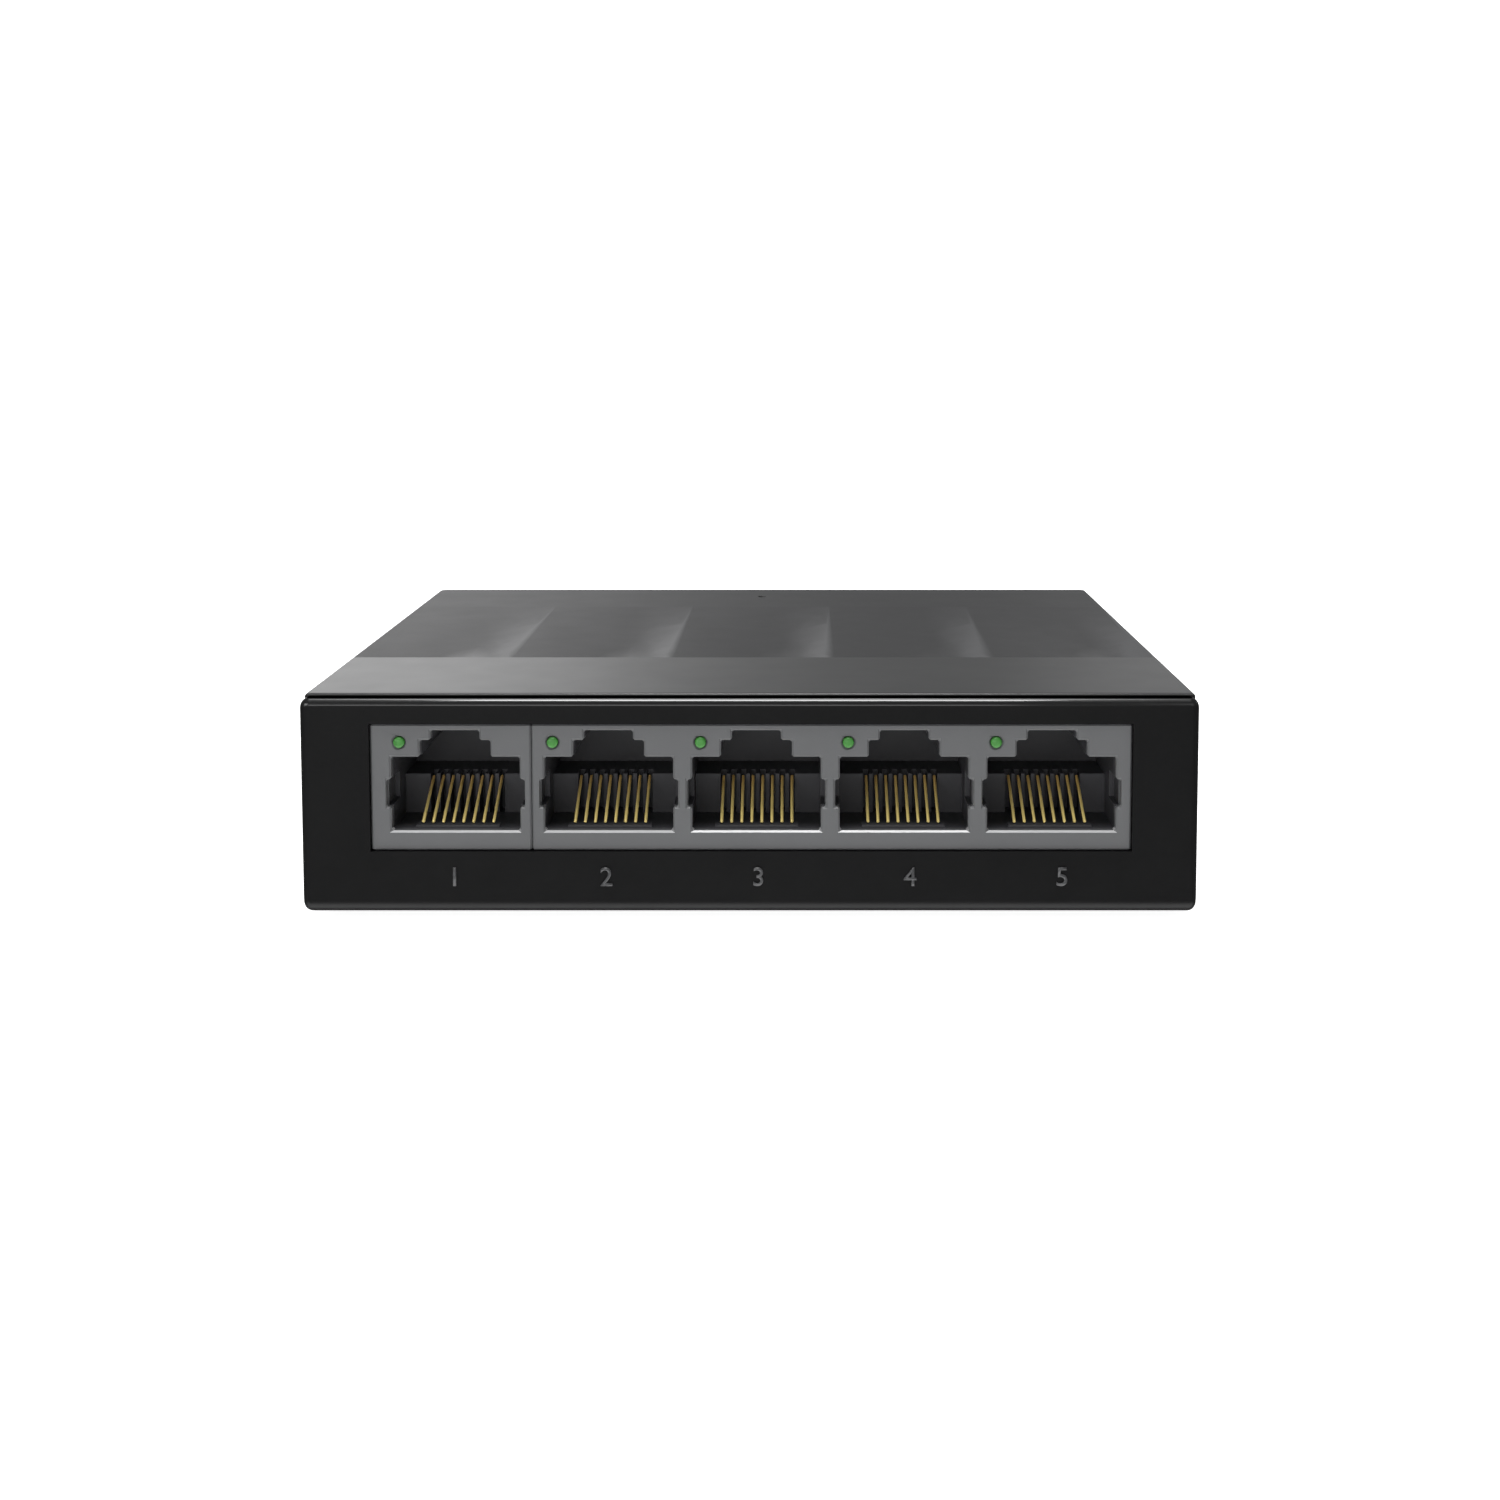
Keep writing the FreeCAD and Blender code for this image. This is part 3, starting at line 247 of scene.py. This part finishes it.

# ---------------------------------------------------------------------------------------------
# Grey lid: a satin band along the front, a relief of five shallow crests behind it.
# ABS in a metallic grey, the band smoother than the grained panel. The dark groove behind the
# port face is the shadow gap between the lid and the tub, its shade painted onto the lid's front wall.
# ---------------------------------------------------------------------------------------------
LID_EDGE = 0.08 * MM
LID_GREY = (0.024, 0.0245, 0.026, 1.0)
LID_PALE = (0.030, 0.0305, 0.032, 1.0)
PAINTED_FACET_HIGHLIGHT = (0.082, 0.083, 0.086, 1.0)
PAINTED_GROOVE_SHADE = (0.003, 0.003, 0.003, 1.0)
BAND_REAR = -14.4 * MM
GROOVE_REAR = -33.40 * MM
GROOVE_LIP = 22.86 * MM
PANEL_LOW = 22.1 * MM
LID_DRIFT = 12 * MM
LID_GRAIN = 0.22 * MM
LID_GRAIN_DEPTH = 0.012 * MM
BAND_SHEEN = 0.30
PANEL_DULLER = 0.15
GROOVE_DULLER = 0.4
HIGHLIGHT_LEAN = 0.16
UPWARDS = 0.98
CREASE = math.radians(4)
LEVEL = 0.99999

lid_grey = Finish("lid_grey", {"Specular IOR Level": 0.5})
panel = lid_grey.axis("Y").step(BAND_REAR, 0.2 * MM) * lid_grey.axis("Z").step(PANEL_LOW, 0.2 * MM)
# Painted shade: the lid's front wall down in the shadow gap is painted near black and made duller.
forward = 1 - lid_grey.axis("Y").step(GROOVE_REAR, 0.05 * MM)
groove_shade = forward * (1 - lid_grey.axis("Z").step(GROOVE_LIP, 0.04 * MM))
# Painted highlight: the facets of the panel that face left are painted lighter, as if lit from the
# left.
highlit_facets = panel * (0 - lid_grey.lean("X")).step(0.0, HIGHLIGHT_LEAN)
grey = lid_grey.mix(lid_grey.noise(LID_DRIFT), LID_GREY, LID_PALE)
grey = lid_grey.mix(highlit_facets, grey, PAINTED_FACET_HIGHLIGHT)
lid_grey.feed("Base Color", lid_grey.mix(groove_shade, grey, PAINTED_GROOVE_SHADE))
sheen = BAND_SHEEN + PANEL_DULLER * panel + 0.05 * (lid_grey.noise(4 * MM) - 0.5)
lid_grey.feed("Roughness", sheen + GROOVE_DULLER * groove_shade)
lid_grey.relief(lid_grey.noise(LID_GRAIN, detail=3.0) * (0.25 + 0.75 * panel), LID_GRAIN_DEPTH)

# The creases between the facets of the relief stay crisp, and the level faces stay flat.
shape = merged("top_cover")
for edge in shape.edges:
    if len(edge.link_faces) == 2 and all(f.normal.z > UPWARDS for f in edge.link_faces):
        edge.smooth = edge.calc_face_angle(0.0) < CREASE
lid = finished(shape, "lid", lid_grey, ["top_cover"])
for face in lid.data.polygons:
    face.use_smooth = face.normal.z < LEVEL
ease(lid, LID_EDGE)

# ---------------------------------------------------------------------------------------------
# Jack housings: one single jack at the left and a gang of four beside it.
# Grey PBT with crisp openings, pegged to the board and standing just inside the port face.
# ---------------------------------------------------------------------------------------------
JACK_EDGE = 0.18 * MM
JACK_GREY = (0.086, 0.088, 0.091, 1.0)
JACK_PALE = (0.100, 0.102, 0.105, 1.0)
LIP_HIGHLIGHT = (0.400, 0.403, 0.410, 1.0)
LIP_HIGH = 10.0 * MM
LIP_STEEPEST = 0.45
LIP_FLATTEST = 0.85
LIP_BLEND = 0.1
JACK_COAT = 0.5

jack_grey = moulded(
    "jack_grey", JACK_GREY, JACK_PALE,
    roughness=0.42, gloss=0.4, grain=0.12 * MM, depth=0.006 * MM,
)
# Low in the openings, the chamfers that face up and outwards get a painted highlight: pale lips
# painted where they would catch the light.
skyward = jack_grey.lean("Z")
low_down = 1 - jack_grey.axis("Z").step(LIP_HIGH, 0.2 * MM)
painted_lip = low_down * skyward.step(LIP_STEEPEST, LIP_BLEND) * (1 - skyward.step(LIP_FLATTEST, LIP_BLEND))
jack_grey.feed("Base Color", jack_grey.mix(painted_lip, jack_grey.tone, LIP_HIGHLIGHT))
jack_grey.feed("Coat Weight", JACK_COAT * low_down)
jack_grey.feed("Coat Roughness", 0.12)
for node, name in (("single_jack_housing", "single_jack"), ("gang_jack_housing", "gang_of_jacks")):
    housing = finished(merged(node), name, jack_grey, [node])
    housing.data.shade_flat()
    chamfer = housing.modifiers.new("chamfered_edges", "BEVEL")
    chamfer.width = JACK_EDGE
    chamfer.segments = 1
    chamfer.use_clamp_overlap = False
    chamfer.limit_method = "ANGLE"
    chamfer.angle_limit = SHARP

# ---------------------------------------------------------------------------------------------
# Contact carriers: the black comb that holds the eight wires at the back of each opening.
# Glass-filled nylon, slid into the housing from behind.
# ---------------------------------------------------------------------------------------------
CARRIER_EDGE = 0.06 * MM
CARRIER_BLACK = (0.034, 0.034, 0.038, 1.0)
CARRIER_DUSTY = (0.048, 0.048, 0.053, 1.0)
PORTS = range(1, 6)

insert_black = moulded(
    "insert_black", CARRIER_BLACK, CARRIER_DUSTY,
    roughness=0.45, gloss=0.4, grain=0.2 * MM, depth=0.010 * MM,
)
for port in PORTS:
    eased_copy(f"port_{port}_insert", f"port_{port}_carrier", insert_black, CARRIER_EDGE)

# ---------------------------------------------------------------------------------------------
# Contact wires: eight sprung wires in each port, free at the rear end and bent at the front.
# Phosphor bronze, gold plated where the plug wipes them and dull near the root.
# ---------------------------------------------------------------------------------------------
GOLD = (1.0, 0.80, 0.28, 1.0)
BRONZE = (0.42, 0.24, 0.07, 1.0)
WIPED_REAR = -33.0 * MM

contact_gold = Finish("contact_gold", {"Metallic": 0.3, "Specular IOR Level": 0.8})
root = contact_gold.axis("Y").step(WIPED_REAR, 4 * MM)
dulled = 0.75 * root + 0.25 * contact_gold.noise(1.2 * MM)
contact_gold.feed("Base Color", contact_gold.mix(dulled, GOLD, BRONZE))
contact_gold.feed("Roughness", 0.30 + 0.10 * contact_gold.noise(0.6 * MM))
for port in PORTS:
    dress(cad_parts[f"port_{port}_contacts"], contact_gold)

# ---------------------------------------------------------------------------------------------
# Port lamps: a small green lens at the upper left of each opening.
# Tinted acrylic, domed, pressed into a bore of the housing from behind.
# ---------------------------------------------------------------------------------------------
LAMP_DOME = 0.16 * MM
DOME_PROFILE = ((0.0, 1.0), (0.35, 0.92), (0.7, 0.6))
DOME_FOOT = 0.15
LAMP_FLANK = 0.05 * MM
LAMP_GREEN = (0.050, 0.230, 0.035, 1.0)
LAMP_DEEP = (0.025, 0.140, 0.020, 1.0)
LAMP_GAP = 0.02 * MM
TURNS = 40


def lathe(profile):
    """Turns (radius, height) points about Z into a closed shape."""
    shape = bmesh.new()
    points = [shape.verts.new((radius, 0.0, height)) for radius, height in profile]
    line = [shape.edges.new(pair) for pair in zip(points, points[1:])]
    bmesh.ops.spin(
        shape,
        geom=points + line,
        cent=(0, 0, 0),
        axis=(0, 0, 1),
        angle=2 * math.pi,
        steps=TURNS,
        use_merge=True,
    )
    bmesh.ops.remove_doubles(shape, verts=shape.verts, dist=WELD)
    bmesh.ops.recalc_face_normals(shape, faces=shape.faces)
    return shape


lamp_green = Finish("lamp_green", {"Specular IOR Level": 0.5})
deep = lamp_green.noise(0.5 * MM)
lamp_green.feed("Base Color", lamp_green.mix(deep, LAMP_GREEN, LAMP_DEEP))
lamp_green.feed("Roughness", 0.34 + 0.12 * lamp_green.noise(0.2 * MM))
lamp_green.relief(lamp_green.noise(0.15 * MM), 0.004 * MM)
for port in PORTS:
    node = f"port_{port}_lamp"
    low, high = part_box(node)
    radius = (high.x - low.x) / 2 - LAMP_GAP
    face = high.y - low.y
    dome = [(radius * out, face + LAMP_DOME * rise) for out, rise in DOME_PROFILE]
    flank = [
        (radius - LAMP_FLANK, face + LAMP_DOME * DOME_FOOT),
        (radius, face - LAMP_FLANK),
        (radius, 0),
        (0, 0),
    ]
    shape = lathe(dome + flank)
    middle = Vector(((low.x + high.x) / 2, high.y, (low.z + high.z) / 2))
    forward_facing = Matrix.Translation(middle) @ Matrix.Rotation(math.radians(90), 4, "X")
    bmesh.ops.transform(shape, matrix=forward_facing, verts=shape.verts)
    finished(shape, f"port_{port}_lens", lamp_green, [node])

# ---------------------------------------------------------------------------------------------
# Port numerals: 1 to 5, raised a tenth of a millimetre from the port face.
# They are painted grey on the black, a painted sheen that stands in for the light their raised faces
# catch.
# ---------------------------------------------------------------------------------------------
NUMERAL_SHEEN_GREY = (0.040, 0.041, 0.043, 1.0)
NUMERAL_SHEEN_PALE = (0.055, 0.056, 0.058, 1.0)
NUMERAL_ROOT = 0.05 * MM
NUMERAL_HALF_THICK = 0.5
NUMERAL_BOLDER = 0.006
NUMERAL_PLATE = 1.2 * MM

numeral_grey = moulded(
    "numeral_grey", NUMERAL_SHEEN_GREY, NUMERAL_SHEEN_PALE,
    roughness=0.34, gloss=0.5, grain=0.1 * MM, depth=0.004 * MM,
)
low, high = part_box("port_numerals")
first = low.x + NUMERAL_PLATE / 2
last = high.x - NUMERAL_PLATE / 2
numerals = bmesh.new()
for port in PORTS:
    letters = bpy.data.curves.new("numeral", "FONT")
    letters.body = str(port)
    letters.extrude = NUMERAL_HALF_THICK
    letters.offset = NUMERAL_BOLDER
    holder = bpy.data.objects.new("numeral", letters)
    bpy.context.scene.collection.objects.link(holder)
    ready = holder.evaluated_get(bpy.context.evaluated_depsgraph_get())
    digit = bpy.data.meshes.new_from_object(ready)
    corners = [point.co for point in digit.vertices]
    left, right = min(c.x for c in corners), max(c.x for c in corners)
    foot, head = min(c.y for c in corners), max(c.y for c in corners)
    size = (high.z - low.z) / (head - foot)
    across = first + (last - first) * (port - 1) / (PORTS[-1] - 1)
    thick = high.y - low.y + NUMERAL_ROOT
    place = (
        Matrix.Translation((across, low.y + thick / 2, (low.z + high.z) / 2))
        @ Matrix.Rotation(math.radians(90), 4, "X")
        @ Matrix.Diagonal((size, size, thick, 1))
        @ Matrix.Translation((-(left + right) / 2, -(foot + head) / 2, 0))
    )
    digit.transform(place)
    numerals.from_mesh(digit)
    bpy.data.objects.remove(holder)
bmesh.ops.remove_doubles(numerals, verts=numerals.verts, dist=WELD)
finished(numerals, "numerals", numeral_grey, ["port_numerals"])

# ---------------------------------------------------------------------------------------------
# Power lamp: a clear pipe that carries the light of a chip lamp up to the pinhole in the lid.
# Clear acrylic with a touch of amber in its thicker parts.
# ---------------------------------------------------------------------------------------------
PIPE_CLEAR = (0.62, 0.60, 0.52, 1.0)
PIPE_AMBER = (0.70, 0.52, 0.28, 1.0)

light_pipe = Finish("light_pipe", {"Specular IOR Level": 0.5})
light_pipe.feed("Base Color", light_pipe.mix(light_pipe.noise(0.6 * MM), PIPE_CLEAR, PIPE_AMBER))
light_pipe.feed("Roughness", 0.18 + 0.15 * light_pipe.noise(0.3 * MM))
dress(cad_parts["power_lamp_pipe"], light_pipe)

# ---------------------------------------------------------------------------------------------
# Power inlet at the back: a moulded barrel socket with its pin and its sprung leaf.
# Black nylon body, nickel-plated brass pin and leaf.
# ---------------------------------------------------------------------------------------------
INLET_EDGE = 0.15 * MM
PIN_EDGE = 0.1 * MM
NICKEL = (0.62, 0.60, 0.56, 1.0)
NICKEL_DULL = (0.42, 0.40, 0.37, 1.0)

component_metal = Finish("component_metal", {"Metallic": 1.0})
tarnish = component_metal.noise(1.2 * MM)
component_metal.feed("Base Color", component_metal.mix(tarnish, NICKEL, NICKEL_DULL))
component_metal.feed("Roughness", 0.22 + 0.2 * component_metal.noise(0.5 * MM))
component_metal.relief(component_metal.noise(0.1 * MM), 0.004 * MM)
eased_copy("dc_inlet_housing", "inlet_body", insert_black, INLET_EDGE)
eased_copy("dc_inlet_pin", "inlet_centre_pin", component_metal, PIN_EDGE)
dress(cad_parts["dc_inlet_leaf"], component_metal)

# ---------------------------------------------------------------------------------------------
# Circuit board and what is soldered to it, seen through the vents and past the jacks.
# Glass-epoxy board under green solder mask, with the copper tracks showing as lighter lines.
# ---------------------------------------------------------------------------------------------
MASK_GREEN = (0.010, 0.060, 0.026, 1.0)
TRACK_GREEN = (0.020, 0.120, 0.045, 1.0)
CHIP_BLACK = (0.018, 0.018, 0.019, 1.0)
CHIP_GREY = (0.035, 0.035, 0.037, 1.0)
TRACK_PITCH = 1.3 * MM
TRACK_JITTER = 0.35
TRACK_START = 0.42
TRACK_BLEND = 0.04
PACKAGE_EDGE = 0.1 * MM
CAN_EDGE = 0.08 * MM

board_green = Finish("board_green", {"Coat Weight": 0.4})
lattice = {"Vector": board_green.where, "Scale": 1 / TRACK_PITCH, "Randomness": TRACK_JITTER}
tracks = board_green.add(
    "ShaderNodeTexVoronoi", {"distance": "CHEBYCHEV", "feature": "F1"}, lattice, output="Distance"
)
copper = tracks.step(TRACK_START, TRACK_BLEND)
board_green.feed("Base Color", board_green.mix(copper, MASK_GREEN, TRACK_GREEN))
board_green.feed("Roughness", 0.30 + 0.15 * board_green.noise(2 * MM))
board_green.relief(copper, 0.03 * MM)
dress(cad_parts["circuit_board"], board_green)

chip_black = moulded(
    "chip_black", CHIP_BLACK, CHIP_GREY,
    roughness=0.5, gloss=0.4, grain=0.1 * MM, depth=0.008 * MM,
)
packages = [f"port_{port}_magnetics" for port in PORTS]
packages += ["switch_chip", "voltage_regulator", "power_inductor"]
for node in packages:
    eased_copy(node, f"{node}_body", chip_black, PACKAGE_EDGE)
for node in ("crystal", "capacitors", "chip_components"):
    eased_copy(node, f"{node}_cans", component_metal, CAN_EDGE)
dress(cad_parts["power_lamp_chip"], light_pipe)

# ---------------------------------------------------------------------------------------------
# Screws: four hold the board to its posts, two come up through the floor into the lid.
# Zinc-plated steel with a cross recess.
# ---------------------------------------------------------------------------------------------
SCREW_EDGE = 0.06 * MM
ZINC = (0.46, 0.47, 0.49, 1.0)
ZINC_DULL = (0.30, 0.31, 0.32, 1.0)

screw_steel = Finish("screw_steel", {"Metallic": 1.0})
screw_steel.feed("Base Color", screw_steel.mix(screw_steel.noise(0.9 * MM), ZINC, ZINC_DULL))
screw_steel.feed("Roughness", 0.28 + 0.18 * screw_steel.noise(0.3 * MM))
screw_steel.relief(screw_steel.noise(0.12 * MM), 0.006 * MM)
for node, name in (("board_screws", "board_fixings"), ("case_screws", "case_fixings")):
    eased_copy(node, name, screw_steel, SCREW_EDGE)

# ---------------------------------------------------------------------------------------------
# Feet: four round rubber pads glued under the corners, with a dished sole and a soft rim.
# Black rubber, matt, a little dusty.
# ---------------------------------------------------------------------------------------------
RUBBER = (0.016, 0.016, 0.016, 1.0)
RUBBER_DUSTY = (0.040, 0.039, 0.037, 1.0)
FOOT_EDGE = 0.05 * MM
FOOT_DISH = 0.12 * MM
FOOT_RIM = 0.9 * MM
FOOT_ROUND = 0.3 * MM

foot_rubber = moulded(
    "foot_rubber", RUBBER, RUBBER_DUSTY,
    roughness=0.7, gloss=0.25, grain=0.3 * MM, depth=0.015 * MM,
)
for end in ("front", "rear"):
    for side in ("left", "right"):
        node = f"{end}_{side}_foot"
        low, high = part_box(node)
        radius = (high.x - low.x) / 2
        height = high.z - low.z
        shape = lathe([
            (0, FOOT_DISH),
            (radius - FOOT_RIM - FOOT_ROUND, FOOT_DISH),
            (radius - FOOT_RIM, 0),
            (radius - FOOT_ROUND, 0),
            (radius - FOOT_ROUND * 0.3, FOOT_ROUND * 0.3),
            (radius, FOOT_ROUND),
            (radius, height),
            (0, height),
        ])
        middle = ((low.x + high.x) / 2, (low.y + high.y) / 2, low.z)
        bmesh.ops.translate(shape, vec=middle, verts=shape.verts)
        pad = finished(shape, f"{end}_{side}_pad", foot_rubber, [node])
        ease(pad, FOOT_EDGE)

# ---------------------------------------------------------------------------------------------
# Studio: a white floor and surround, six softboxes, a wall of light and the camera.
# The wall stands behind the object and runs off along the lid, bright at the left to dark.
# ---------------------------------------------------------------------------------------------
ROOM = 3.0
FLOOR_GAP = 0.02 * MM
FLOOR_GLOW = 1.0
SURROUND_GLOW = 1.2
AMBIENT = 0.15
WHITE = (0.9, 0.9, 0.9, 1.0)


def studio_white(name, glow):
    """Matt white that also glows, so that it stays white under the object."""
    paint = Finish(name, {"Base Color": WHITE, "Roughness": 0.9, "Emission Color": WHITE})
    paint.feed("Emission Strength", glow)
    return paint


def stage_piece(name, shape, paint):
    """Adds a piece of the room, which isn't part of the object."""
    obj = solid(shape, name, paint)
    return obj


def softbox(name, place, aim, width, height, brightness):
    """A rectangular lamp that faces the aim, unseen by the camera."""
    light = bpy.data.lights.new(name, "AREA")
    light.shape = "RECTANGLE"
    light.size = width
    light.size_y = height
    light.energy = brightness * math.pi * width * height
    lamp = bpy.data.objects.new(name, light)
    lamp.location = place
    lamp.rotation_euler = (Vector(aim) - Vector(place)).to_track_quat("-Z", "Y").to_euler()
    lamp.visible_camera = False
    bpy.context.scene.collection.objects.link(lamp)


shape = bmesh.new()
below = Matrix.Translation((0, 0, -FLOOR_GAP))
bmesh.ops.create_circle(shape, cap_ends=True, segments=64, radius=ROOM, matrix=below)
floor = stage_piece("floor", shape, studio_white("floor_white", FLOOR_GLOW))
floor.visible_glossy = False
floor.visible_shadow = False

shape = bmesh.new()
bmesh.ops.create_uvsphere(shape, u_segments=48, v_segments=24, radius=ROOM)
bmesh.ops.reverse_faces(shape, faces=shape.faces)
surround = stage_piece("surround", shape, studio_white("surround_white", SURROUND_GLOW))
surround.visible_diffuse = False
surround.visible_glossy = False
surround.visible_transmission = False
surround.visible_shadow = False

world = bpy.data.worlds.new("ambient")
world.use_nodes = True
background = world.node_tree.nodes["Background"]
background.inputs["Color"].default_value = (1.0, 1.0, 1.0, 1.0)
background.inputs["Strength"].default_value = AMBIENT
bpy.context.scene.world = world

MIDDLE = (0.0, 0.0, 0.012)
softbox("overhead_box", (-0.05, 0.1, 1.2), MIDDLE, width=0.6, height=0.5, brightness=5.0)
softbox("top_front_box", (-0.03, -0.30, 1.2), MIDDLE, width=0.46, height=0.34, brightness=17.0)
softbox("front_left_box", (-0.5, -0.6, 0.26), MIDDLE, width=0.40, height=0.30, brightness=3.9)
softbox("front_fill_box", (-0.1, -1.0, 0.12), MIDDLE, width=0.50, height=0.24, brightness=3.0)
softbox("front_right_box", (0.6, -1.2, 0.42), MIDDLE, width=0.6, height=0.6, brightness=0.6)
softbox("low_box", (0.0, -0.050, -0.030), (0.0, -0.050, 0.0), width=0.16, height=0.030, brightness=2.5)

# The wall of light behind: brightest at the left, dark past the middle, a little light again.
WALL_BACK = 1.7
WALL_LEFT = -0.95
WALL_RIGHT = 0.75
WALL_LOW = 0.10
WALL_HIGH = 0.95
WALL_GLOW = 1.5
STOPS = (
    (-0.95, 0.98),
    (-0.47, 0.98),
    (-0.34, 0.86),
    (-0.24, 0.66),
    (-0.15, 0.40),
    (-0.06, 0.27),
    (0.08, 0.18),
    (0.22, 0.16),
    (0.36, 0.38),
    (0.75, 0.46),
)

wall_light = Finish("wall_light", {"Base Color": (0.0, 0.0, 0.0, 1.0), "Specular IOR Level": 0.0})
wall_width = WALL_RIGHT - WALL_LEFT
along = (wall_light.axis("X") - WALL_LEFT) * (1 / wall_width)
stops = [((place - WALL_LEFT) / wall_width, glow) for place, glow in STOPS]
glow = wall_light.add("ShaderNodeValToRGB", {"stops": stops}, {0: along})
wall_light.feed("Emission Color", glow)
wall_light.feed("Emission Strength", WALL_GLOW)
shape = bmesh.new()
bmesh.ops.create_grid(shape, x_segments=1, y_segments=1, size=0.5)
wall_place = (
    Matrix.Translation(((WALL_LEFT + WALL_RIGHT) / 2, WALL_BACK, (WALL_LOW + WALL_HIGH) / 2))
    @ Matrix.Rotation(math.radians(90), 4, "X")
    @ Matrix.Diagonal((wall_width, WALL_HIGH - WALL_LOW, 1, 1))
)
bmesh.ops.transform(shape, matrix=wall_place, verts=shape.verts)
wall = stage_piece("wall_of_light", shape, wall_light)
wall.visible_camera = False

# The camera stands close in front of the port face, a little above the lid and turned down.
CAMERA_PLACE = (4.65 * MM, -210.31 * MM, 60.73 * MM)
CAMERA_DOWN = 4.229
FOCAL_LENGTH = 42.545
SHIFT_ACROSS = -0.0307
SHIFT_UP = -0.2
NEAREST = 0.01

lens = bpy.data.cameras.new("camera")
lens.lens = FOCAL_LENGTH
lens.shift_x = SHIFT_ACROSS
lens.shift_y = SHIFT_UP
lens.clip_start = NEAREST
camera = bpy.data.objects.new("camera", lens)
camera.location = CAMERA_PLACE
camera.rotation_euler = (math.radians(90 - CAMERA_DOWN), 0, 0)
bpy.context.scene.collection.objects.link(camera)
bpy.context.scene.camera = camera
bpy.context.scene.view_settings.view_transform = "Standard"
